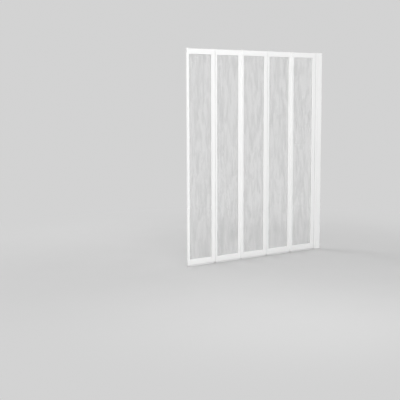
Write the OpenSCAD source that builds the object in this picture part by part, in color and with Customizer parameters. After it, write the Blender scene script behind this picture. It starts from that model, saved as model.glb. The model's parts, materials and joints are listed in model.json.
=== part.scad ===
// Folding bath screen: five framed panels that fold like a concertina, hinged to a wall profile.
// x = 0 is the mounting face and the screen runs to -x; -y is the dry side and +y the wet side;
// z = 0 is the level it stands on. Panel 5 is at the wall profile and panel 1 has the free end.

/* [Screen] */
// Foot of the seals to the top of the end caps
screen_h = 1400; // [1100:10:1600]
// Width of pane that shows between two uprights
view_w = 173.5; // [120:0.5:260]
// Thickness of the frames, front to back
frame_t = 14; // [13:0.5:20]
// Height of the top and bottom rails
rail_h = 35; // [34:1:60]
// Outer edge of a rail, below or above the end of its end caps
rail_inset = 1.5; // [0.5:0.1:3]
// Face of the upright that carries the hinge tube
hinge_stile_w = 19; // [17:0.5:30]
// Face of the upright beside the hinge ears
plain_stile_w = 14; // [13.5:0.5:25]
// Face of the upright at the free end
free_stile_w = 15; // [12.5:0.5:25]
// Mounting face to the flank of the adjusting profile
wall_zone_w = 56; // [52:1:90]

/* [Extrusions] */
// Outer walls of the aluminium extrusions
wall_t = 1.4; // [1:0.1:1.8]
// Ribs and groove walls inside the extrusions
rib_t = 1.2; // [0.8:0.1:1.6]
// Rounding of the rails' edges and of the free end
view_r = 2.5; // [0.5:0.1:3]
// Rounding of the uprights' edges beside the pane, where the rails' cut ends meet them
corner_r = 1.2; // [0.3:0.1:1.4]
// Rounding of the frame edges beside a seam
flank_r = 0.8; // [0.3:0.1:1.2]
// Depth of the glazing groove
groove_d = 8; // [6:0.5:8]

/* [Pane] */
// Thickness of the plastic pane
pane_t = 3; // [2:0.1:4]
// Cheek of the U gasket, each side of the pane
gasket_t = 0.8; // [0.5:0.1:1.2]
// Base of the U gasket, under the edge of the pane
gasket_base = 1; // [0.5:0.1:2]
// How far the gasket stands out of its groove
gasket_lip = 0.6; // [0.2:0.1:1.5]

/* [Hinges] */
// Outer radius of the hinge tube
tube_r = 5.5; // [5:0.1:7]
// Radius of the steel hinge pin
pin_r = 3; // [2:0.1:3.4]
// Radial running clearance of the pin in the tube
pin_clear = 0.05; // [0.02:0.01:0.1]
// Gap between the faces of two folded panels
fold_gap = 3; // [2:0.1:5]
// Edge of the hinge tube to the flank of its own upright
tube_stand = 0.5; // [0.3:0.1:1.5]
// Edge of the hinge tube to the flank of the next upright
tube_clear = 1; // [0.6:0.1:2]
// Height of the neck that joins the tube to its upright
neck_t = 2.4; // [1.8:0.1:3]
// Thickness of the cover lip
lip_t = 1.5; // [1:0.1:2]
// Open seam beside the cover lip
seam_w = 2.2; // [0.8:0.1:3]
// Height of a hinge ear
ear_h = 10; // [8:0.5:20]
// How far the ear's edge lies inside the tube's
ear_inset = 0.3; // [0.1:0.1:0.8]
// Gap between an ear and the end of the tube
ear_gap = 0.3; // [0.1:0.1:1]
// Roof of plastic over the end of the pin
pin_roof = 1.5; // [1:0.1:4]
// Length of pin inside the tube
pin_reach = 22; // [10:1:60]

/* [End caps] */
// Plate of an end cap
cap_t = 3; // [2:0.1:4]
// Chamfer round the top of an end cap
cap_edge = 0.8; // [0.3:0.1:1.2]
// Depth of the plug in the upright
plug_d = 6; // [3:0.5:6]
// Clearance round the plug
plug_clear = 0.1; // [0.05:0.05:0.3]
// Foot of the seals to the underside of the end caps
foot_gap = 8; // [4:0.5:12]

/* [Seals] */
// Neck of the wiper seal, through the wall of the flank
wiper_neck = 1; // [0.6:0.1:1.2]
// Head of the wiper seal, inside the upright
wiper_head_t = 1; // [0.6:0.1:1.5]
// Gap between the wiper lip and the hinge tube
wiper_gap = 0.3; // [0.1:0.1:0.6]
// Mouth of the slot for the bottom seal
slot_w = 3.2; // [2:0.1:4]
// Width of the slot above its mouth
slot_head_w = 6.4; // [5:0.1:7]
// Height of the slot above its mouth
slot_head_h = 2.8; // [2:0.1:3]
// Clearance round the seal's head in the slot
slot_clear = 0.1; // [0.05:0.05:0.3]
// Thickness of the seal's lips
seal_lip_t = 0.9; // [0.6:0.1:1.5]
// Half width of the seal across its lips
seal_half_w = 6; // [4.5:0.1:6.5]
// Gap between the seal and the underside of the end caps
seal_drop = 0.2; // [0.1:0.1:0.5]
// Set-back of the seal from the ends of its panel
seal_back = 1; // [0.5:0.5:5]

/* [Screws] */
// Radius of the corner screws and of their ports in the rails
screw_r = 1.6; // [1.2:0.1:2]
// Radius of the countersunk heads
head_r = 3; // [2.8:0.1:3.4]
// Length of screw inside the rail
screw_grip = 14; // [8:1:30]
// Clearance of the screw in the inner wall
screw_clear = 0.1; // [0.05:0.05:0.3]
// Outer edge of the rail to its first screw port
port_1 = 12; // [9.5:0.5:13]
// First screw port to the second
port_gap = 10; // [8:0.5:12]

/* [Wall profile] */
// Width of the wall profile's flanges, out from the mounting face
channel_w = 38; // [30:1:50]
// Thickness of the flanges
channel_t = 2; // [1.5:0.1:3]
// Thickness of the web between the flanges
web_t = 2.2; // [1.8:0.1:4]
// Rounding of the flange edges
channel_r = 1; // [0.4:0.1:1.4]
// Clearance of the adjusting profile in the wall profile, each side
slide_clear = 0.2; // [0.1:0.05:0.5]
// Mounting face to the end of the adjusting profile
adjust_gap = 9; // [6:0.5:24]
// Radius of the mounting holes in the web
wall_hole_r = 2.75; // [2:0.05:3.5]
// End of the wall profile to its outer mounting holes
wall_hole_margin = 98.5; // [50:0.5:200]
// Spacing of the inner two mounting holes
wall_holes_inner = 400; // [200:10:600]
// Radius of the fixing screws
fix_r = 1.9; // [1.5:0.1:2.5]
// Clearance of the fixing screws in the flange
fix_clear = 0.2; // [0.1:0.05:0.5]
// Radius of the fixing screws' pan heads
fix_head_r = 3.6; // [3:0.1:4.5]
// Height of the pan heads
fix_head_h = 2.2; // [1.5:0.1:3]
// Length of the fixing screws under the head
fix_len = 10; // [6:0.5:14]
// End of the wall profile to its outer fixing screws
fix_margin = 80; // [40:5:160]
// Clearance of the small plastic caps beside the wall profile
cap_clear = 0.2; // [0.1:0.05:0.5]

/* [Hidden] */
$fn = 48;
white = [0.95, 0.95, 0.94];
plastic = [0.92, 0.92, 0.9];
clear = [0.85, 0.92, 0.95, 0.35];
soft = [0.75, 0.76, 0.76];
steel = [0.7, 0.7, 0.72];

groove_w = pane_t + 2 * gasket_t;
axis_y = frame_t / 2 + fold_gap / 2;
near_x = tube_r + tube_stand;         // hinge axis to the flank that carries the tube
far_x = tube_r + tube_clear;          // hinge axis to the flank beside the ears
ear_r = tube_r - ear_inset;
tube_bore = pin_r + pin_clear;
pitch = near_x + hinge_stile_w + view_w + plain_stile_w + far_x;
z0 = foot_gap + cap_t;                // lower ends of the extrusions
z1 = screen_h - cap_t;                // upper ends of the extrusions
frame_h = z1 - z0;
rail_z0 = foot_gap + rail_inset;      // outer edges of the rails
rail_z1 = screen_h - rail_inset;
tube_z0 = foot_gap + ear_h + ear_gap;
tube_z1 = screen_h - ear_h - ear_gap;
ports = [port_1, port_1 + port_gap];
chamber_w = frame_t - 2 * wall_t;     // hollow of an extrusion, front to back
wiper_y = frame_t / 2 - wall_t - wiper_neck / 2 - 0.6;
channel_y = frame_t / 2 + slide_clear + channel_t;
wall_holes_outer = z1 - 2 * wall_hole_margin;
fixings = [for (i = [0 : 3]) fix_margin + i * (z1 - 2 * fix_margin) / 3];

// Hinge k lies between panel k and panel k + 1; hinge 5 is at the wall profile.
function hinge_x(k) = -wall_zone_w - far_x - (5 - k) * pitch;
// Hinges 5, 3 and 1 are on the wet side, and 4 and 2 on the dry side.
function turned(k) = k % 2 == 1 ? 0 : 1;
function view_x1(k) = hinge_x(k) - near_x - hinge_stile_w;
function view_x0(k) = view_x1(k) - view_w;
function left_w(k) = k == 1 ? free_stile_w : plain_stile_w;

// ---- shared shapes ----

// Rectangle with its two left corners rounded by rl and its two right corners by rr
module rounded(x0, x1, y0, y1, rl, rr) {
  translate([x0 + rl, y0]) square([x1 - rr - x0 - rl, y1 - y0]);
  if (rl > 0) {
    translate([x0, y0 + rl]) square([rl, y1 - y0 - 2 * rl]);
    for (y = [y0 + rl, y1 - rl]) translate([x0 + rl, y]) circle(r = rl);
  }
  if (rr > 0) {
    translate([x1 - rr, y0 + rr]) square([rr, y1 - y0 - 2 * rr]);
    for (y = [y0 + rr, y1 - rr]) translate([x1 - rr, y]) circle(r = rr);
  }
}

// Draws something at the top of the screen, and its mirror image at the bottom
module both_ends() {
  children();
  translate([0, 0, foot_gap + screen_h]) mirror([0, 0, 1]) children();
}

// Draws something written for a wet-side hinge at hinge k
module at_hinge(k) {
  translate([hinge_x(k), 0, 0]) mirror([0, turned(k), 0]) children();
}

// Section with the glazing groove: outer flank at x = 0 with edges r, pane side at x = w with
// edges r1
module glazed_2d(w, r, r1) {
  difference() {
    rounded(0, w, -frame_t / 2, frame_t / 2, r, r1);
    translate([w - groove_d, -groove_w / 2]) square([groove_d + 1, groove_w]);
    translate([wall_t, -chamber_w / 2])
      square([w - groove_d - rib_t - wall_t, chamber_w]);
    for (s = [0, 1]) mirror([0, s])
      translate([w - groove_d, groove_w / 2 + rib_t])
        square([groove_d - wall_t - r1 / 4, (chamber_w - groove_w) / 2 - rib_t]);
  }
}

// Countersunk screw: head face at z = 0, shank towards -z
module corner_screw(length) {
  rotate_extrude()
    polygon([[0, 0], [head_r, 0], [screw_r, screw_r - head_r], [screw_r, screw_r - length],
             [0, -length]]);
}

// Heights of the corner screws
module at_ports() {
  for (h = ports) {
    translate([0, 0, rail_z0 + h]) children();
    translate([0, 0, rail_z1 - h]) children();
  }
}

// Countersunk hole through the flank and clearance hole through the inner wall, towards +x
module screw_hole(w) {
  rotate([0, -90, 0]) rotate_extrude()
    polygon([[0, 1], [head_r, 1], [head_r, 0], [screw_r, screw_r - head_r],
             [screw_r, -wall_t - 0.5], [screw_r + screw_clear, -wall_t - 0.5],
             [screw_r + screw_clear, -w + groove_d - 1], [0, -w + groove_d - 1]]);
}

// Slot for the wiper seal in a flank at x = far_x
module wiper_slot_2d() {
  translate([far_x - 1, wiper_y - wiper_neck / 2]) square([wall_t + 1.5, wiper_neck]);
}

// Cover lip of a hinge upright, opposite the tube, over the seam
module cover_lip_2d() {
  rounded(-near_x - flank_r, far_x - seam_w, -frame_t / 2, -frame_t / 2 + lip_t, 0, lip_t / 2.5);
}

// ---- extrusions ----

// Upright with the hinge tube, its neck and the cover lip, on the right of panel k
module hinge_stile(k) {
  low = frame_t / 2 - neck_t;
  dx = sqrt(pow(tube_r, 2) - pow(axis_y - low, 2));
  difference() {
    at_hinge(k) union() {
      translate([0, 0, z0]) linear_extrude(frame_h) {
        translate([-near_x, 0]) mirror([1, 0])
          glazed_2d(hinge_stile_w, flank_r, corner_r);
        cover_lip_2d();
      }
      translate([0, 0, tube_z0]) linear_extrude(tube_z1 - tube_z0) difference() {
        union() {
          translate([0, axis_y]) circle(r = tube_r);
          translate([-near_x - flank_r, low])
            square([near_x + flank_r - dx + 0.3, neck_t]);
        }
        translate([0, axis_y]) circle(r = tube_bore);
      }
    }
    at_ports() translate([hinge_x(k) - near_x, 0, 0]) mirror([1, 0, 0])
      screw_hole(hinge_stile_w);
  }
}

// Upright beside the hinge ears, on the left of panel k + 1
module ear_stile(k) {
  difference() {
    at_hinge(k) translate([0, 0, z0]) linear_extrude(frame_h) difference() {
      translate([far_x, 0]) glazed_2d(plain_stile_w, flank_r, corner_r);
      wiper_slot_2d();
    }
    at_ports() translate([hinge_x(k) + far_x, 0, 0]) screw_hole(plain_stile_w);
  }
}

// Upright at the free end
module free_stile() {
  difference() {
    translate([view_x0(1) - free_stile_w, 0, z0]) linear_extrude(frame_h)
      glazed_2d(free_stile_w, view_r, corner_r);
    at_ports() translate([view_x0(1) - free_stile_w, 0, 0]) screw_hole(free_stile_w);
  }
}

// Section of a rail: outer edge at x = 0, pane side at x = rail_h, with two screw ports
module rail_2d(slotted) {
  difference() {
    union() {
      glazed_2d(rail_h, view_r, view_r);
      for (h = ports) translate([h, 0]) {
        circle(r = screw_r + rib_t);
        translate([-rib_t / 2, -chamber_w / 2 - 0.2]) square([rib_t, chamber_w + 0.4]);
      }
      if (slotted) translate([wall_t / 2, -slot_head_w / 2 - rib_t])
        square([wall_t / 2 + slot_head_h + rib_t, slot_head_w + 2 * rib_t]);
    }
    for (h = ports) translate([h, 0]) circle(r = screw_r);
    if (slotted) {
      translate([-1, -slot_w / 2]) square([wall_t + 1.5, slot_w]);
      translate([wall_t, -slot_head_w / 2]) square([slot_head_h, slot_head_w]);
    }
  }
}

module rail(k, slotted) {
  translate([view_x1(k), 0, rail_z0]) rotate([0, -90, 0])
    linear_extrude(view_w) rail_2d(slotted);
}

module top_rail(k) {
  translate([0, 0, foot_gap + screen_h]) mirror([0, 0, 1]) rail(k, false);
}

// ---- pane and gasket ----

// Box on the glazing: grow is measured from the edge of the view into the groove
module glazing(k, grow, thick) {
  translate([view_x0(k) - grow, -thick / 2, rail_z0 + rail_h - grow])
    cube([view_w + 2 * grow, thick, rail_z1 - rail_z0 - 2 * rail_h + 2 * grow]);
}

module pane(k) {
  glazing(k, groove_d - gasket_base, pane_t);
}

module pane_gasket(k) {
  difference() {
    glazing(k, groove_d, groove_w);
    glazing(k, groove_d - gasket_base, pane_t);
    glazing(k, -gasket_lip, groove_w + 1);
  }
}

// ---- screws ----

module frame_screws(k) {
  at_ports() {
    translate([hinge_x(k) - near_x, 0, 0]) rotate([0, 90, 0])
      corner_screw(hinge_stile_w + screw_grip);
    translate([view_x0(k) - left_w(k), 0, 0]) rotate([0, -90, 0])
      corner_screw(left_w(k) + screw_grip);
  }
}

// ---- end caps and hinge ears ----

// Keeps what is inside a box with chamfered top edges; the box is the top of the screen
module chamfered(x0, x1, y) {
  intersection() {
    children();
    translate([x0 - 1, 0, 0]) rotate([90, 0, 90]) linear_extrude(x1 - x0 + 2)
      polygon([[-y, 0], [y, 0], [y, screen_h - cap_edge], [y - cap_edge, screen_h],
               [cap_edge - y, screen_h], [-y, screen_h - cap_edge]]);
    translate([0, y + 1, 0]) rotate([90, 0, 0]) linear_extrude(2 * y + 2)
      polygon([[x0, 0], [x1, 0], [x1, screen_h - cap_edge], [x1 - cap_edge, screen_h],
               [x0 + cap_edge, screen_h], [x0, screen_h - cap_edge]]);
  }
}

// Plate and plug on an upright with flank x0 and hollow x2 to x3
module cap(x0, x1, x2, x3, rl, rr) {
  chamfered(x0, x1, frame_t / 2) translate([0, 0, z1]) linear_extrude(cap_t)
    rounded(x0, x1, -frame_t / 2, frame_t / 2, rl, rr);
  translate([x2 + plug_clear, plug_clear - chamber_w / 2, z1 - plug_d])
    cube([x3 - x2 - 2 * plug_clear, chamber_w - 2 * plug_clear, plug_d + 0.5]);
}

// Cap of a hinge upright, with a tongue over the cover lip
module tube_cap(k) {
  at_hinge(k) {
    cap(-near_x - hinge_stile_w, -near_x, -near_x - hinge_stile_w + groove_d + rib_t,
        -near_x - wall_t, corner_r, flank_r);
    translate([0, 0, z1]) linear_extrude(cap_t - cap_edge) cover_lip_2d();
  }
}

// Disc round the hinge axis on a bar from the flank, with the blind seat of the pin
module ear() {
  bar_y = axis_y - ear_r + ear_inset;
  difference() {
    union() {
      translate([0, axis_y, screen_h - ear_h]) rotate_extrude()
        polygon([[0, 0], [ear_r, 0], [ear_r, ear_h - cap_edge], [ear_r - cap_edge, ear_h],
                 [0, ear_h]]);
      translate([0, bar_y, screen_h - ear_h])
        cube([far_x, axis_y + fold_gap / 3 - bar_y, ear_h - cap_edge]);
      translate([0, bar_y, z1])
        cube([far_x + flank_r + cap_edge, frame_t / 2 - flank_r - bar_y, cap_t - cap_edge]);
    }
    translate([0, axis_y, screen_h - ear_h - 1]) cylinder(r = pin_r, h = ear_h - pin_roof + 1);
  }
}

// Cap with a hinge ear, on the upright beside hinge k
module ear_cap(k) {
  at_hinge(k) {
    cap(far_x, far_x + plain_stile_w, far_x + wall_t,
        far_x + plain_stile_w - groove_d - rib_t, flank_r, corner_r);
    ear();
  }
}

module free_cap() {
  x0 = view_x0(1) - free_stile_w;
  cap(x0, view_x0(1), x0 + wall_t, view_x0(1) - groove_d - rib_t, view_r, corner_r);
}

module end_caps(k) {
  both_ends() {
    tube_cap(k);
    if (k == 1) free_cap(); else ear_cap(k - 1);
  }
}

module pins(k) {
  both_ends() at_hinge(k)
    translate([0, axis_y, screen_h - ear_h - pin_reach])
      cylinder(r = pin_r, h = ear_h + pin_reach - pin_roof);
}

// ---- seals ----

// Seal in the flank beside hinge k: head inside, neck through the wall, lip along the tube
module wiper_seal(k) {
  at_hinge(k) translate([0, 0, tube_z0]) linear_extrude(tube_z1 - tube_z0) difference() {
    union() {
      translate([far_x + wall_t, wiper_y - wiper_neck / 2 - 0.5])
        square([wiper_head_t, wiper_neck + 1]);
      translate([far_x - 0.2, wiper_y - wiper_neck / 2]) square([wall_t + 0.4, wiper_neck]);
      polygon([[far_x, wiper_y - wiper_neck], [far_x, wiper_y + wiper_neck + 0.4],
               [tube_r * 0.8, axis_y - tube_r * 0.5],
               [tube_r * 0.8, axis_y - tube_r * 0.68]]);
    }
    translate([0, axis_y]) circle(r = tube_r + wiper_gap);
  }
}

// Seal under the bottom rail of panel k: head in the slot, two splayed lips and a fin between
module bottom_seal(k) {
  top = foot_gap - seal_drop;
  bar = 1.2;
  x0 = view_x0(k) - left_w(k) + seal_back;
  x1 = view_x1(k) + hinge_stile_w - seal_back;
  in = seal_half_w - 1;
  translate([x1, 0, 0]) rotate([0, -90, 0]) linear_extrude(x1 - x0) {
    translate([top - bar, -in]) square([bar, 2 * in]);
    for (s = [0, 1]) mirror([0, s])
      polygon([[top - bar, in - seal_lip_t], [top - bar, in], [0.3, seal_half_w],
               [0, seal_half_w], [0, seal_half_w - seal_lip_t]]);
    translate([0.6, -seal_lip_t / 2]) square([top - bar - 0.5, seal_lip_t]);
  }
  translate([view_x1(k) - seal_drop, 0, 0]) rotate([0, -90, 0])
    linear_extrude(view_w - 2 * seal_drop) {
      translate([top - 0.1, -seal_half_w + 2])
        square([rail_z0 - top + 0.1, 2 * seal_half_w - 4]);
      translate([rail_z0 - 0.1, -slot_w / 2 + slot_clear])
        square([wall_t + 0.3, slot_w - 2 * slot_clear]);
      translate([rail_z0 + wall_t + slot_clear, -slot_head_w / 2 + slot_clear])
        square([slot_head_h - 2 * slot_clear, slot_head_w - 2 * slot_clear]);
    }
}

// ---- wall profile and adjusting profile ----

module wall_profile() {
  difference() {
    linear_extrude(z1) difference() {
      rounded(-channel_w, 0, -channel_y, channel_y, channel_r, 0);
      translate([-channel_w - 1, -channel_y + channel_t])
        square([channel_w + 1 - web_t, 2 * (channel_y - channel_t)]);
    }
    for (d = [wall_holes_outer, wall_holes_inner], s = [-0.5, 0.5])
      translate([-web_t - 1, 0, z1 / 2 + s * d]) rotate([0, 90, 0])
        cylinder(r = wall_hole_r, h = web_t + 2);
    at_fixings() translate([0, channel_y + 1, 0]) rotate([90, 0, 0])
      cylinder(r = fix_r + fix_clear, h = channel_t + 2);
  }
}

module wall_profile_cap() {
  chamfered(-channel_w, 0, channel_y) translate([0, 0, z1]) linear_extrude(cap_t)
    rounded(-channel_w, 0, -channel_y, channel_y, channel_r, 0);
  translate([-adjust_gap + cap_clear, channel_t + plug_clear - channel_y, z1 - plug_d])
    cube([adjust_gap - cap_clear - web_t - plug_clear,
          2 * (channel_y - channel_t - plug_clear), plug_d + 0.5]);
}

// Places of the fixing screws, in the middle of the overlap of the two profiles
module at_fixings() {
  for (z = fixings) translate([-(channel_w + adjust_gap) / 2, 0, z]) children();
}

module adjusting_profile() {
  x0 = hinge_x(5) + far_x;
  rib_x = -channel_w - cap_clear;
  difference() {
    at_hinge(5) translate([0, 0, z0]) linear_extrude(frame_h) difference() {
      rounded(far_x, -hinge_x(5) - adjust_gap, -frame_t / 2, frame_t / 2, flank_r, flank_r);
      translate([far_x + wall_t, -chamber_w / 2])
        square([rib_x - x0 - wall_t, chamber_w]);
      translate([rib_x - hinge_x(5) + rib_t, -chamber_w / 2])
        square([-rib_x - rib_t - adjust_gap - wall_t, chamber_w]);
      wiper_slot_2d();
    }
    at_fixings() translate([0, frame_t / 2 + 1, 0]) rotate([90, 0, 0])
      cylinder(r = fix_r, h = wall_t + 2);
  }
}

// Top cap with its ear, and at the bottom a deeper one that stands on z = 0
module adjuster_hinge_caps() {
  x0 = far_x;
  x1 = -hinge_x(5) - channel_w - cap_clear;
  both_ends() at_hinge(5) {
    cap(x0, x1, x0 + wall_t, x1, flank_r, 0);
    ear();
  }
  at_hinge(5) linear_extrude(z0)
    rounded(x0, x1, -frame_t / 2, frame_t / 2, flank_r, 0);
}

module fixing_screws() {
  at_fixings() translate([0, channel_y, 0]) rotate([-90, 0, 0]) rotate_extrude()
    polygon([[0, -fix_len], [fix_r * 0.4, -fix_len], [fix_r, fix_r - fix_len], [fix_r, 0],
             [fix_head_r, 0], [fix_head_r, fix_head_h * 0.5],
             [fix_head_r * 0.75, fix_head_h], [0, fix_head_h]]);
}

// ---- nodes ----

module left_stile(k) { if (k == 1) free_stile(); else ear_stile(k - 1); }

module wall_profile_node() { color(white) wall_profile(); }
module wall_profile_cap_node() { color(plastic) wall_profile_cap(); }
module adjusting_profile_node() { color(white) adjusting_profile(); }
module adjuster_hinge_caps_node() { color(plastic) adjuster_hinge_caps(); }
module adjuster_hinge_pins_node() { color(steel) pins(5); }
module adjuster_wiper_seal_node() { color(soft) wiper_seal(5); }
module fixing_screws_node() { color(steel) fixing_screws(); }
module panel_5_left_stile() { color(white) left_stile(5); }
module panel_5_right_stile() { color(white) hinge_stile(5); }
module panel_5_top_rail() { color(white) top_rail(5); }
module panel_5_bottom_rail() { color(white) rail(5, true); }
module panel_5_pane() { color(clear) pane(5); }
module panel_5_pane_gasket() { color(soft) pane_gasket(5); }
module panel_5_frame_screws() { color(steel) frame_screws(5); }
module panel_5_end_caps() { color(plastic) end_caps(5); }
module panel_5_hinge_pins() { color(steel) pins(4); }
module panel_5_wiper_seal() { color(soft) wiper_seal(4); }
module panel_5_bottom_seal() { color(soft) bottom_seal(5); }
module panel_4_left_stile() { color(white) left_stile(4); }
module panel_4_right_stile() { color(white) hinge_stile(4); }
module panel_4_top_rail() { color(white) top_rail(4); }
module panel_4_bottom_rail() { color(white) rail(4, true); }
module panel_4_pane() { color(clear) pane(4); }
module panel_4_pane_gasket() { color(soft) pane_gasket(4); }
module panel_4_frame_screws() { color(steel) frame_screws(4); }
module panel_4_end_caps() { color(plastic) end_caps(4); }
module panel_4_hinge_pins() { color(steel) pins(3); }
module panel_4_wiper_seal() { color(soft) wiper_seal(3); }
module panel_4_bottom_seal() { color(soft) bottom_seal(4); }
module panel_3_left_stile() { color(white) left_stile(3); }
module panel_3_right_stile() { color(white) hinge_stile(3); }
module panel_3_top_rail() { color(white) top_rail(3); }
module panel_3_bottom_rail() { color(white) rail(3, true); }
module panel_3_pane() { color(clear) pane(3); }
module panel_3_pane_gasket() { color(soft) pane_gasket(3); }
module panel_3_frame_screws() { color(steel) frame_screws(3); }
module panel_3_end_caps() { color(plastic) end_caps(3); }
module panel_3_hinge_pins() { color(steel) pins(2); }
module panel_3_wiper_seal() { color(soft) wiper_seal(2); }
module panel_3_bottom_seal() { color(soft) bottom_seal(3); }
module panel_2_left_stile() { color(white) left_stile(2); }
module panel_2_right_stile() { color(white) hinge_stile(2); }
module panel_2_top_rail() { color(white) top_rail(2); }
module panel_2_bottom_rail() { color(white) rail(2, true); }
module panel_2_pane() { color(clear) pane(2); }
module panel_2_pane_gasket() { color(soft) pane_gasket(2); }
module panel_2_frame_screws() { color(steel) frame_screws(2); }
module panel_2_end_caps() { color(plastic) end_caps(2); }
module panel_2_hinge_pins() { color(steel) pins(1); }
module panel_2_wiper_seal() { color(soft) wiper_seal(1); }
module panel_2_bottom_seal() { color(soft) bottom_seal(2); }
module panel_1_left_stile() { color(white) left_stile(1); }
module panel_1_right_stile() { color(white) hinge_stile(1); }
module panel_1_top_rail() { color(white) top_rail(1); }
module panel_1_bottom_rail() { color(white) rail(1, true); }
module panel_1_pane() { color(clear) pane(1); }
module panel_1_pane_gasket() { color(soft) pane_gasket(1); }
module panel_1_frame_screws() { color(steel) frame_screws(1); }
module panel_1_end_caps() { color(plastic) end_caps(1); }
module panel_1_bottom_seal() { color(soft) bottom_seal(1); }

wall_profile_node();  // wall_profile
wall_profile_cap_node();  // wall_profile_cap
adjusting_profile_node();  // adjusting_profile
adjuster_hinge_caps_node();  // adjuster_hinge_caps
adjuster_hinge_pins_node();  // adjuster_hinge_pins
adjuster_wiper_seal_node();  // adjuster_wiper_seal
fixing_screws_node();  // fixing_screws
panel_5_left_stile();
panel_5_right_stile();
panel_5_top_rail();
panel_5_bottom_rail();
panel_5_pane();
panel_5_pane_gasket();
panel_5_frame_screws();
panel_5_end_caps();
panel_5_hinge_pins();
panel_5_wiper_seal();
panel_5_bottom_seal();
panel_4_left_stile();
panel_4_right_stile();
panel_4_top_rail();
panel_4_bottom_rail();
panel_4_pane();
panel_4_pane_gasket();
panel_4_frame_screws();
panel_4_end_caps();
panel_4_hinge_pins();
panel_4_wiper_seal();
panel_4_bottom_seal();
panel_3_left_stile();
panel_3_right_stile();
panel_3_top_rail();
panel_3_bottom_rail();
panel_3_pane();
panel_3_pane_gasket();
panel_3_frame_screws();
panel_3_end_caps();
panel_3_hinge_pins();
panel_3_wiper_seal();
panel_3_bottom_seal();
panel_2_left_stile();
panel_2_right_stile();
panel_2_top_rail();
panel_2_bottom_rail();
panel_2_pane();
panel_2_pane_gasket();
panel_2_frame_screws();
panel_2_end_caps();
panel_2_hinge_pins();
panel_2_wiper_seal();
panel_2_bottom_seal();
panel_1_left_stile();
panel_1_right_stile();
panel_1_top_rail();
panel_1_bottom_rail();
panel_1_pane();
panel_1_pane_gasket();
panel_1_frame_screws();
panel_1_end_caps();
panel_1_bottom_seal();
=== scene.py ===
import json
import math

import bpy
import numpy as np
from mathutils import Matrix, Vector


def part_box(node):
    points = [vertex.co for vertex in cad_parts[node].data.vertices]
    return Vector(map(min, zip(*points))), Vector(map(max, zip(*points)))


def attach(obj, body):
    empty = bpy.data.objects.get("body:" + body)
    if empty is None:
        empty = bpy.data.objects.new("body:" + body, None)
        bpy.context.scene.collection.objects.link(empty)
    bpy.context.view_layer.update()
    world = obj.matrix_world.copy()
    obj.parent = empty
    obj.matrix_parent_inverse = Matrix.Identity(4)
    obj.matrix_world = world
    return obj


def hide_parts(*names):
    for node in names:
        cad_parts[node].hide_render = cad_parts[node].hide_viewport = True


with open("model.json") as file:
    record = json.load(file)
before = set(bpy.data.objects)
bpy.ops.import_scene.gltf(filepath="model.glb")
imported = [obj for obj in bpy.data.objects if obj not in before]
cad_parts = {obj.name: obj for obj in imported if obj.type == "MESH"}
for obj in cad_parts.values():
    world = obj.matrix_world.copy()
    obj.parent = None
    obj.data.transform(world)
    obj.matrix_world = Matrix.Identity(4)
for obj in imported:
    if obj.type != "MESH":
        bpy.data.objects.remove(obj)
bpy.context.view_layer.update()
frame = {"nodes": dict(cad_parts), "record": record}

scene = bpy.context.scene
nodes = frame["nodes"]

PANELS = range(1, 6)     # 1 has the free end, 5 is at the wall profile
MM = 0.001               # every length here is in metres, as in the frame

# ---- camera, from a fit of the solids' edges to the photograph ----

PHOTO_PX = 400                                 # width of the photograph
FOCAL_PX = 816.02                              # focal length in the same pixels
YAW, PITCH, ROLL = 34.790, 6.934, -0.242       # degrees: turned to +X, looking down, tilted
CAMERA_AT = Vector((-4.0587, -4.3275, 1.0694))
SENSOR_MM = 36
NEAREST, FARTHEST = 0.05, 200


def make_camera():
    """Camera at the place, turn and focal length of the fit."""
    yaw, pitch, roll = (math.radians(a) for a in (YAW, PITCH, ROLL))
    ahead = Vector((math.sin(yaw) * math.cos(pitch), math.cos(yaw) * math.cos(pitch),
                    -math.sin(pitch)))
    level = Vector((math.cos(yaw), -math.sin(yaw), 0))
    above = level.cross(ahead)
    right = level * math.cos(roll) + above * math.sin(roll)
    up = above * math.cos(roll) - level * math.sin(roll)
    data = bpy.data.cameras.new("camera")
    data.sensor_fit = "HORIZONTAL"
    data.sensor_width = SENSOR_MM
    data.lens = FOCAL_PX / PHOTO_PX * SENSOR_MM
    data.clip_start = NEAREST
    data.clip_end = FARTHEST
    camera = bpy.data.objects.new("camera", data)
    camera.matrix_world = Matrix.Translation(CAMERA_AT) @ Matrix((
        (right.x, up.x, -ahead.x), (right.y, up.y, -ahead.y), (right.z, up.z, -ahead.z))).to_4x4()
    scene.collection.objects.link(camera)
    scene.camera = camera


# ---- node helpers ----


def grey(level):
    return (level, level, level, 1)


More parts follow.
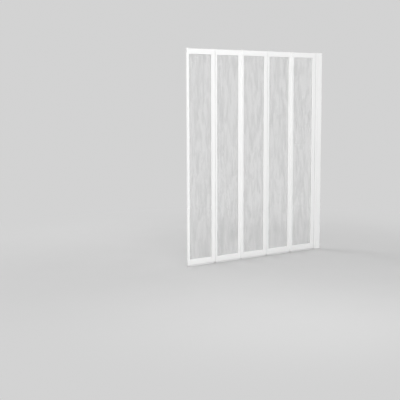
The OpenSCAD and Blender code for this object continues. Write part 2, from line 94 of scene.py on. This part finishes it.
class Net:
    """A small builder for the node tree of a material or of the world."""

    def __init__(self, tree):
        self.tree = tree
        tree.nodes.clear()

    def add(self, kind, inputs=None, **settings):
        """A new node. Its inputs are values or sockets, by the input's name or number."""
        n = self.tree.nodes.new(kind)
        for key, value in settings.items():
            setattr(n, key, value)
        for key, value in (inputs or {}).items():
            if isinstance(value, bpy.types.NodeSocket):
                self.tree.links.new(value, n.inputs[key])
            else:
                n.inputs[key].default_value = value
        return n

    def math(self, op, a, b):
        return self.add("ShaderNodeMath", {0: a, 1: b}, operation=op).outputs[0]

    def between(self, x, low, high):
        """A number that goes from low to high as x goes from 0 to 1."""
        return self.math("ADD", self.math("MULTIPLY", x, high - low), low)

    def mix(self, factor, a, b):
        """Colour a where the factor is 0, and colour b where it is 1."""
        return self.add("ShaderNodeMix", {0: factor, 6: a, 7: b}, data_type="RGBA").outputs[2]

    def ramp(self, factor, *stops):
        """Grey that runs between two stops, each (factor, level)."""
        n = self.add("ShaderNodeValToRGB", {0: factor})
        for element, (at, level) in zip(n.color_ramp.elements, stops):
            element.position = at
            element.color = grey(level)
        return n.outputs[0]

    def coords(self, scale=(1, 1, 1)):
        """The object's own coordinates, stretched by a scale along each axis."""
        own = self.add("ShaderNodeTexCoord").outputs["Object"]
        return self.add("ShaderNodeMapping", {"Vector": own, "Scale": scale}).outputs[0]

    def noise(self, vector, scale, detail=2):
        return self.add("ShaderNodeTexNoise", {"Vector": vector, "Scale": scale,
                                               "Detail": detail}).outputs[0]

    def opaque(self, tone, rough, height, strength, deep=0.1 * MM, metallic=0.0):
        """Ends the tree with a solid surface that has a bump of this height."""
        bump = self.add("ShaderNodeBump", {"Strength": strength, "Distance": deep,
                                           "Height": height})
        p = self.add("ShaderNodeBsdfPrincipled", {
            "Base Color": tone, "Roughness": rough, "Metallic": metallic,
            "Normal": bump.outputs[0]})
        self.add("ShaderNodeOutputMaterial", {"Surface": p.outputs[0]})


def material(name):
    m = bpy.data.materials.new(name)
    m.use_nodes = True
    return m, Net(m.node_tree)


# ---- materials ----


def painted_white():
    """Powder coat: a slow drift of tone, a fine grain and the faint lines of the extrusion."""
    m, n = material("white_powder_coat")
    drift = n.noise(n.coords(), scale=2.2, detail=3)
    grain = n.noise(n.coords(), scale=420)
    lines = n.noise(n.coords((260, 260, 1.5)), scale=1)
    dull, bright = (0.885, 0.886, 0.884, 1), (0.912, 0.912, 0.908, 1)
    speck = (0.84, 0.84, 0.835, 1)
    tone = n.mix(n.ramp(drift, (0.3, 0), (0.7, 1)), dull, bright)
    tone = n.mix(n.math("MULTIPLY", grain, 0.05), tone, speck)
    height = n.math("ADD", grain, n.math("MULTIPLY", lines, 0.5))
    n.opaque(tone, n.between(drift, 0.27, 0.37), height, strength=0.25, deep=0.2 * MM)
    return m


def moulded_white():
    """Plastic of the caps: slightly duller than the coat, with a moulded grain."""
    m, n = material("moulded_white_plastic")
    drift = n.noise(n.coords(), scale=60, detail=3)
    grain = n.noise(n.coords(), scale=1500)
    dull, bright = (0.845, 0.845, 0.838, 1), (0.885, 0.885, 0.878, 1)
    tone = n.mix(drift, dull, bright)
    n.opaque(tone, n.between(grain, 0.38, 0.52), grain, strength=0.12)
    return m


def soft_seal():
    """Soft plastic of the seals and gaskets, clouded along its length."""
    m, n = material("soft_seal")
    cloud = n.noise(n.coords((1, 1, 0.2)), scale=30, detail=3)
    grain = n.noise(n.coords(), scale=900)
    dull, bright = (0.69, 0.695, 0.695, 1), (0.77, 0.775, 0.77, 1)
    tone = n.mix(cloud, dull, bright)
    n.opaque(tone, n.between(grain, 0.42, 0.57), grain, strength=0.15)
    return m


def brushed_steel():
    """Steel of the pins and screws, with fine turned lines."""
    m, n = material("brushed_steel")
    lines = n.noise(n.coords((40, 40, 2500)), scale=1, detail=3)
    dull, bright = (0.52, 0.525, 0.53, 1), (0.66, 0.66, 0.665, 1)
    tone = n.mix(lines, dull, bright)
    n.opaque(tone, n.between(lines, 0.22, 0.40), lines, strength=0.10, metallic=1.0)
    return m


def rain_pane():
    """Clear plastic sheet with painted shade: its colour is darker where the relief is steep and
    turns the light away.
    """
    m, n = material("rain_pane")
    relief = n.add("ShaderNodeAttribute", attribute_name="shade").outputs["Fac"]
    grain = n.noise(n.coords((500, 500, 90)), scale=1)
    shade = n.math("ADD", n.math("MULTIPLY", relief, 0.9), n.math("MULTIPLY", grain, 0.1))
    # painted shade: steep is the colour painted where the relief is steepest, clear is the colour
    # of the flat sheet
    steep, clear = (0.66, 0.664, 0.664, 1), (0.998, 0.998, 0.998, 1)
    tone = n.mix(n.ramp(shade, (0.1, 1), (0.9, 0)), steep, clear)
    sheet = n.add("ShaderNodeBsdfPrincipled", {
        "Base Color": tone, "Roughness": n.between(shade, 0.03, 0.11),
        "Transmission Weight": 0.95, "IOR": 1.49})
    shadow = n.add("ShaderNodeBsdfTransparent", {"Color": (0.90, 0.903, 0.903, 1)})
    is_shadow = n.add("ShaderNodeLightPath").outputs["Is Shadow Ray"]
    either = n.add("ShaderNodeMixShader", {0: is_shadow, 1: sheet.outputs[0],
                                           2: shadow.outputs[0]})
    n.add("ShaderNodeOutputMaterial", {"Surface": either.outputs[0]})
    return m


BY_SLOT = {"white_frame": painted_white(), "white_plastic": moulded_white(),
           "seal": soft_seal(), "steel": brushed_steel(), "pane": rain_pane()}


def dress_nodes():
    """Gives every solid the material of its slot in the record."""
    for sub in frame["record"]["subparts"]:
        o = nodes[sub["node"]]
        o.data.materials.clear()
        o.data.materials.append(BY_SLOT[sub["material_slot"]])


# ---- pieces that stand for solids ----


def corners(node):
    """Lowest and highest corner of a solid's box."""
    return [Vector(c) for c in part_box(node)]


def stand_in(name, mesh, slot, body, node):
    """A piece with its slot's material that rides on a body and replaces a solid."""
    piece = bpy.data.objects.new(name, mesh)
    mesh.materials.append(BY_SLOT[slot])
    scene.collection.objects.link(piece)
    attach(piece, body)
    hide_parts(node)


# ---- rain relief panes ----

STEP_X, STEP_Z = 0.0009, 0.0030           # grid of the relief
RELIEF = 0.0008                           # height of the highest drop
RIM_ROWS, RIM_COLS = 3, 4                 # flat margin that the gasket holds
FIRST_SEED = 40
CROWD_BLUR = (0.028, 0.0062)              # where the drops crowd together, (z, x)
SWAY_BLUR, SWAY = (0.045, 0.012), 0.0006  # how the drops lean aside
WAVE_BLUR, WAVE_SHARE = (0.009, 0.0022), 0.16    # fine waves between and on the drops
BLUR_REACH = 3                            # a blur's kernel, in sigmas each way
# painted shade of the panes: its base, and how much the relief's height, crowding and steepness
# darken it
BASE_SHADE, BY_HEIGHT, BY_CROWD, BY_STEEPNESS = 0.05, 0.20, 0.10, 2.0
BACK_SHADE = 0.1

DROPS = 1900                              # on each pane
START_BELOW = 14                          # rows below the pane where a drop may start
CROWDING = 1.6                            # less keeps the drops more to the crowded places
SHORTEST, LONGER = 0.013, 0.052           # the shortest drop, and how much longer they get
HALF_WIDTH = (0.0014, 0.0031)
TALLNESS = (0.45, 1.0)                    # share of the relief's height
HEAD, TAPER = 0.18, 0.65                  # share that is its round head, width lost behind it
TIP_END, TIP = 1.02, 0.2                  # where its tail closes, and over what share
SWAY_ROOM = 0.004                         # more than it can lean aside
THINNEST = 1e-5                           # keeps the division by its width safe


def smooth_noise(rng, shape, sigma):
    """Normalised random field on the relief's grid; sigma is its blur in metres, (z, x)."""
    def blur(a, axis, width):
        reach = int(BLUR_REACH * width)
        k = np.exp(-0.5 * (np.arange(-reach, reach + 1) / width) ** 2)
        return np.apply_along_axis(lambda v: np.convolve(v, k / k.sum(), "valid"), axis, a)

    sz, sx = sigma[0] / STEP_Z, sigma[1] / STEP_X
    a = rng.standard_normal((shape[0] + 2 * int(BLUR_REACH * sz),
                             shape[1] + 2 * int(BLUR_REACH * sx)))
    a = blur(blur(a, 0, sz), 1, sx)[:shape[0], :shape[1]]
    return (a - a.mean()) / a.std()


def drop_width(t, half):
    """Half width of a drop at t, which goes from 0 at its round head to 1 at its tail."""
    head = np.sqrt(np.clip(1 - (1 - t / HEAD) ** 2, 0, 1))
    tail = 1 - TAPER * ((t - HEAD) / (1 - HEAD))
    tip = np.sqrt(np.clip((TIP_END - t) / TIP, 0, 1))
    return np.maximum(half * np.where(t < HEAD, head, tail) * tip, THINNEST)


def add_drop(rng, h, sway, row, col):
    """Raises the relief by one drop whose head is at a row and column."""
    rows, cols = h.shape
    length = SHORTEST + LONGER * rng.uniform() ** 2
    half = rng.uniform(*HALF_WIDTH)
    tall = rng.uniform(*TALLNESS)
    r0, r1 = max(int(row), 0), min(int(row + length / STEP_Z) + 1, rows)
    reach = int((half + SWAY_ROOM) / STEP_X) + 1
    c0, c1 = max(int(col) - reach, 0), min(int(col) + reach + 1, cols)
    if r1 <= r0:
        return
    t = np.clip((np.arange(r0, r1) - row) * STEP_Z / length, 0, 1)[:, None]
    width = drop_width(t, half)
    dx = (np.arange(c0, c1)[None, :] - col) * STEP_X - sway[r0:r1, c0:c1]
    drop = np.clip(1 - (dx / width) ** 2, 0, 1) * tall * np.sqrt(width / half)
    part = h[r0:r1, c0:c1]
    np.maximum(part, drop, out=part)


def rain_field(rng, rows, cols):
    """Relief of drops that ran down and left a tapering tail: height and painted shade, 0 to 1.
    """
    crowd = smooth_noise(rng, (rows, cols), CROWD_BLUR)
    sway = smooth_noise(rng, (rows, cols), SWAY_BLUR) * SWAY
    h = np.zeros((rows, cols))
    made = 0
    while made < DROPS:
        row, col = rng.uniform(-START_BELOW, rows), rng.uniform(0, cols)
        here = crowd[min(max(int(row), 0), rows - 1), int(col)]
        if rng.uniform(-CROWDING, CROWDING) > here:
            continue
        made += 1
        add_drop(rng, h, sway, row, col)
    h = (np.roll(h, 1, 1) + 4 * h + np.roll(h, -1, 1)) / 6      # softens the drops' sides
    waves = smooth_noise(rng, (rows, cols), WAVE_BLUR)
    h = (1 - WAVE_SHARE) * h + WAVE_SHARE / 2 * (1 + np.tanh(waves))
    h[:RIM_ROWS] = 0
    h[-RIM_ROWS:] = 0
    h[:, :RIM_COLS] = 0
    h[:, -RIM_COLS:] = 0
    steep = np.hypot(np.gradient(h, STEP_X, axis=1), np.gradient(h, STEP_Z, axis=0)) * RELIEF
    # painted shade: darkest where the relief is steep, standing in for the light it bends away,
    # and a little darker where it is high or crowded
    shade = BASE_SHADE + BY_HEIGHT * h + BY_CROWD * crowd + BY_STEEPNESS * steep
    return h, np.clip(shade, 0, 1)


def rain_mesh(name, low, high, seed):
    """Closed sheet between two corners: flat on the wet side, rain relief on the dry side."""
    cols = int((high.x - low.x) / STEP_X) + 1
    rows = int((high.z - low.z) / STEP_Z) + 1
    relief, shade = rain_field(np.random.default_rng(seed), rows, cols)
    gx, gz = np.meshgrid(np.linspace(low.x, high.x, cols), np.linspace(low.z, high.z, rows))
    front = np.stack([gx, low.y + RELIEF * (1 - relief), gz], -1).reshape(-1, 3)
    a = np.arange(rows * cols).reshape(rows, cols)
    faces = np.stack([a[:-1, :-1], a[:-1, 1:], a[1:, 1:], a[1:, :-1]], -1).reshape(-1, 4)
    ring = np.concatenate([a[0, :-1], a[:-1, -1], a[-1, :0:-1], a[:0:-1, 0]])
    back = front[ring].copy()
    back[:, 1] = high.y
    around = np.arange(len(ring)) + len(front)
    nxt = np.roll(np.arange(len(ring)), -1)
    sides = np.stack([ring[nxt], ring, around, around[nxt]], -1)
    mesh = bpy.data.meshes.new(name)
    mesh.from_pydata(np.concatenate([front, back]).tolist(), [],
                     faces.tolist() + sides.tolist() + [around[::-1].tolist()])
    mesh.polygons.foreach_set("use_smooth", [True] * len(faces) + [False] * (len(sides) + 1))
    mesh.attributes.new("shade", "FLOAT", "POINT").data.foreach_set(
        "value", np.concatenate([shade.ravel(), np.full(len(ring), BACK_SHADE)]))
    mesh.update()
    return mesh


def make_panes():
    """The five panes, each with a relief of its own."""
    for k in PANELS:
        node = f"panel_{k}_pane"
        name = f"panel_{k}_rain_pane"
        mesh = rain_mesh(name, *corners(node), FIRST_SEED + k)
        stand_in(name, mesh, "pane", f"panel_{k}", node)


# ---- screws with their cross recesses ----
# A face is (radius, height of its dome), a drive is (reach, half width, depth) of a recess, and
# a profile is a list of (radius, height), which goes down from the edge of the face.

AROUND, FACE_RINGS, INNER_RING = 48, 14, 0.02
RECESS_WALL = 0.4      # share of the half width over which a recess's wall slopes
RECESS_RISE = 0.45     # share of the depth that is lost at the end of an arm

HEAD_R, SHANK_R, WALL_T, PORT_GAP = 3 * MM, 1.6 * MM, 1.4 * MM, 10 * MM
GRIP = 14 * MM         # length of a corner screw inside its rail
POINT = 0.7 * MM
CORNER_FACE = (HEAD_R - 0.12 * MM, 0)
CORNER_DRIVE = (1.55 * MM, 0.42 * MM, 1.15 * MM)

PAN_R, PAN_H, FIX_R, FIX_LEN = 3.6 * MM, 2.2 * MM, 1.9 * MM, 10 * MM
FIXINGS = 4
CROWN = 0.55 * MM      # from the edge of the pan head's face up to the top of its box
UNDER = CROWN - PAN_H
PAN_FACE = (PAN_R * 0.80, 0.5 * MM)
PAN_DRIVE = (1.9 * MM, 0.5 * MM, 1.2 * MM)
PAN_HEAD = [(PAN_R * 0.92, -0.18 * MM), (PAN_R * 0.985, -0.5 * MM), (PAN_R, -0.95 * MM),
            (PAN_R, UNDER + 0.02 * MM), (FIX_R, UNDER), (FIX_R, UNDER - FIX_LEN + 1.1 * MM),
            (FIX_R * 0.4, UNDER - FIX_LEN)]

spins = np.random.default_rng(7)     # how far each screw is turned


def countersunk(length):
    """Profile of a corner screw: its cone goes through the upright's wall."""
    return [(HEAD_R, -0.10 * MM), (SHANK_R, -WALL_T), (SHANK_R, POINT - length),
            (SHANK_R * 0.55, -length)]


def cross_recess(x, y, reach, half, deep):
    """Depth of a cross recess at a point of a screw's face."""
    far, near = np.maximum(abs(x), abs(y)), np.minimum(abs(x), abs(y))
    inside = np.clip(-np.maximum(near - half, far - reach) / (half * RECESS_WALL), 0, 1)
    return deep * inside * (1 - RECESS_RISE * np.hypot(x, y) / reach)


def screw_rings(face, profile, drive):
    """Rings of points of a screw along +Z: its domed face with the recess, then its profile."""
    turn = np.arange(AROUND) * math.tau / AROUND
    radius, dome = face
    rings = []
    for r in np.linspace(INNER_RING, 1, FACE_RINGS) * radius:
        x, y = r * np.cos(turn), r * np.sin(turn)
        z = dome * (1 - (r / radius) ** 2) - cross_recess(x, y, *drive)
        rings.append(np.stack([x, y, z], -1))
    for r, h in profile:
        rings.append(np.stack([r * np.cos(turn), r * np.sin(turn), np.full(AROUND, h)], -1))
    return np.array(rings)


def screw_mesh(name, places, face, drive):
    """One mesh with a screw at each place: (point, way its face looks, spin, its profile)."""
    verts, faces = [], []
    for at, facing, spin, profile in places:
        rings = screw_rings(face, profile, drive)
        a = np.arange(len(rings) * AROUND).reshape(-1, AROUND)
        b = np.roll(a, -1, axis=1)
        loops = np.stack([a[:-1], a[1:], b[1:], b[:-1]], -1).reshape(-1, 4).tolist()
        loops += [a[0].tolist(), a[-1, ::-1].tolist()]
        m = (Matrix.Translation(at) @ Vector(facing).to_track_quat("Z", "Y").to_matrix().to_4x4()
             @ Matrix.Rotation(spin, 4, "Z"))
        faces += [[v + len(verts) for v in f] for f in loops]
        verts += [m @ Vector(v) for v in rings.reshape(-1, 3)]
    mesh = bpy.data.meshes.new(name)
    mesh.from_pydata(verts, [], faces)
    mesh.polygons.foreach_set("use_smooth", [len(f) == 4 for f in faces])
    mesh.update()
    return mesh


def make_corner_screws():
    """Eight a panel, two at each corner, each as long as its upright is wide plus its grip."""
    for k in PANELS:
        node = f"panel_{k}_frame_screws"
        name = f"panel_{k}_corner_screws"
        low, high = corners(node)
        heights = [low.z + HEAD_R, low.z + HEAD_R + PORT_GAP,
                   high.z - HEAD_R - PORT_GAP, high.z - HEAD_R]
        rail_ends = [c.x for c in corners(f"panel_{k}_top_rail")]
        places = [((x, 0, z), (side, 0, 0), spins.uniform(0, math.tau),
                   countersunk(abs(x - rail_end) + GRIP))
                  for x, side, rail_end in zip((low.x, high.x), (-1, 1), rail_ends)
                  for z in heights]
        mesh = screw_mesh(name, places, CORNER_FACE, CORNER_DRIVE)
        stand_in(name, mesh, "steel", f"panel_{k}", node)


def make_lock_screws():
    """The pan-head screws that lock the adjusting profile in the wall profile."""
    low, high = corners("fixing_screws")
    x, y = (low.x + high.x) / 2, high.y - CROWN
    places = [((x, y, z), (0, 1, 0), spins.uniform(0, math.tau), PAN_HEAD)
              for z in np.linspace(low.z + PAN_R, high.z - PAN_R, FIXINGS).tolist()]
    mesh = screw_mesh("lock_screws", places, PAN_FACE, PAN_DRIVE)
    stand_in("lock_screws", mesh, "steel", "wall_mount", "fixing_screws")


# ---- edges of the solids, which catch the light ----

WELD = 0.01 * MM
FLAT, SHARP = 0.5, 40                # degrees: faces that merge, and edges that are rounded
EDGE = 0.25 * MM


def round_edges(o):
    """Joins a solid's facets into its flat faces and rounds the edges between them."""
    weld = o.modifiers.new("weld", "WELD")
    weld.merge_threshold = WELD
    flat = o.modifiers.new("flat", "DECIMATE")
    flat.decimate_type = "DISSOLVE"
    flat.angle_limit = math.radians(FLAT)
    bevel = o.modifiers.new("bevel", "BEVEL")
    bevel.width = EDGE
    bevel.segments = 2
    bevel.limit_method = "ANGLE"
    bevel.angle_limit = math.radians(SHARP)
    even = o.modifiers.new("even", "WEIGHTED_NORMAL")
    even.keep_sharp = True


# ---- floor, world and lamps ----

BACKDROP = 0.65
FLOOR_TONES = grey(0.565), grey(0.585)
FLOOR_AT = (-0.575, 0, -0.0003)      # under the middle of the screen, just clear of it
FLOOR_HALF = 60
FADE_START, FADE_END = 0.9, 2.7      # distances at which the floor turns into the backdrop
SKY, SLANT = 0.72, 0.45              # soft light all round, stronger from the free end's side
FRONT_AIM = (-0.5, 0, 0.7)           # near the middle of the screen


def make_floor():
    """A pale floor that keeps the shadow and turns into the backdrop further out."""
    m, n = material("floor")
    own = n.coords()
    away = n.add("ShaderNodeVectorMath", {0: own}, operation="LENGTH").outputs["Value"]
    far = n.add("ShaderNodeMapRange",
                {"Value": away, "From Min": FADE_START, "From Max": FADE_END},
                interpolation_type="SMOOTHSTEP").outputs[0]
    tone = n.mix(n.noise(own, scale=3, detail=3), *FLOOR_TONES)
    near = n.add("ShaderNodeBsdfDiffuse", {"Color": tone})
    glow = n.add("ShaderNodeEmission", {"Color": grey(BACKDROP), "Strength": 1.0})
    both = n.add("ShaderNodeMixShader", {0: far, 1: near.outputs[0], 2: glow.outputs[0]})
    n.add("ShaderNodeOutputMaterial", {"Surface": both.outputs[0]})
    s = FLOOR_HALF
    mesh = bpy.data.meshes.new("floor")
    mesh.from_pydata([(-s, -s, 0), (s, -s, 0), (s, s, 0), (-s, s, 0)], [], [(0, 1, 2, 3)])
    mesh.materials.append(m)
    floor = bpy.data.objects.new("floor", mesh)
    floor.location = FLOOR_AT
    scene.collection.objects.link(floor)


def make_world():
    """The camera, gloss and glass see the backdrop; everything is lit by a slanted sky."""
    world = bpy.data.worlds.new("world")
    world.use_nodes = True
    n = Net(world.node_tree)
    path = n.add("ShaderNodeLightPath")
    seen = n.math("MAXIMUM", path.outputs["Is Camera Ray"], n.math(
        "MAXIMUM", path.outputs["Is Glossy Ray"], path.outputs["Is Transmission Ray"]))
    way = n.add("ShaderNodeTexCoord").outputs["Generated"]
    across = n.add("ShaderNodeSeparateXYZ", {0: way}).outputs["X"]
    level = n.between(across, SKY, SKY - SKY * SLANT)
    light = n.add("ShaderNodeBackground", {"Color": grey(1.0), "Strength": level})
    show = n.add("ShaderNodeBackground", {"Color": grey(BACKDROP), "Strength": 1.0})
    both = n.add("ShaderNodeMixShader", {0: seen, 1: light.outputs[0], 2: show.outputs[0]})
    n.add("ShaderNodeOutputWorld", {"Surface": both.outputs[0]})
    scene.world = world


def lamp(name, at, to, size, watts):
    """Softbox: size is (wide, high). It lights and is mirrored, but isn't seen."""
    data = bpy.data.lights.new(name, "AREA")
    data.shape = "RECTANGLE"
    data.size, data.size_y = size
    data.energy = watts
    o = bpy.data.objects.new(name, data)
    o.location = at
    o.rotation_euler = (Vector(to) - Vector(at)).to_track_quat("-Z", "Y").to_euler()
    o.visible_camera = False
    o.visible_transmission = False
    scene.collection.objects.link(o)


make_camera()
scene.view_settings.view_transform = "Standard"
dress_nodes()
make_panes()
make_corner_screws()
make_lock_screws()
for o in nodes.values():
    if not o.hide_render:
        round_edges(o)
make_floor()
make_world()
lamp("key", at=(-1.95, -2.6, 1.6), to=(-2.0, 0, 1.05), size=(1.8, 1.4), watts=35.5)
lamp("strip", at=(0.3, -4.2, 1.4), to=FRONT_AIM, size=(0.3, 2.2), watts=7)
lamp("strip_far", at=(3.6, -2.4, 1.4), to=FRONT_AIM, size=(0.3, 2.2), watts=7)
lamp("back", at=(-1.5, 3.2, 2.6), to=(-0.6, 0, 0.7), size=(1.8, 1.8), watts=46)
lamp("wall_side", at=(3.2, 0.6, 1.6), to=(-0.2, 0, 0.7), size=(1.4, 1.4), watts=22)
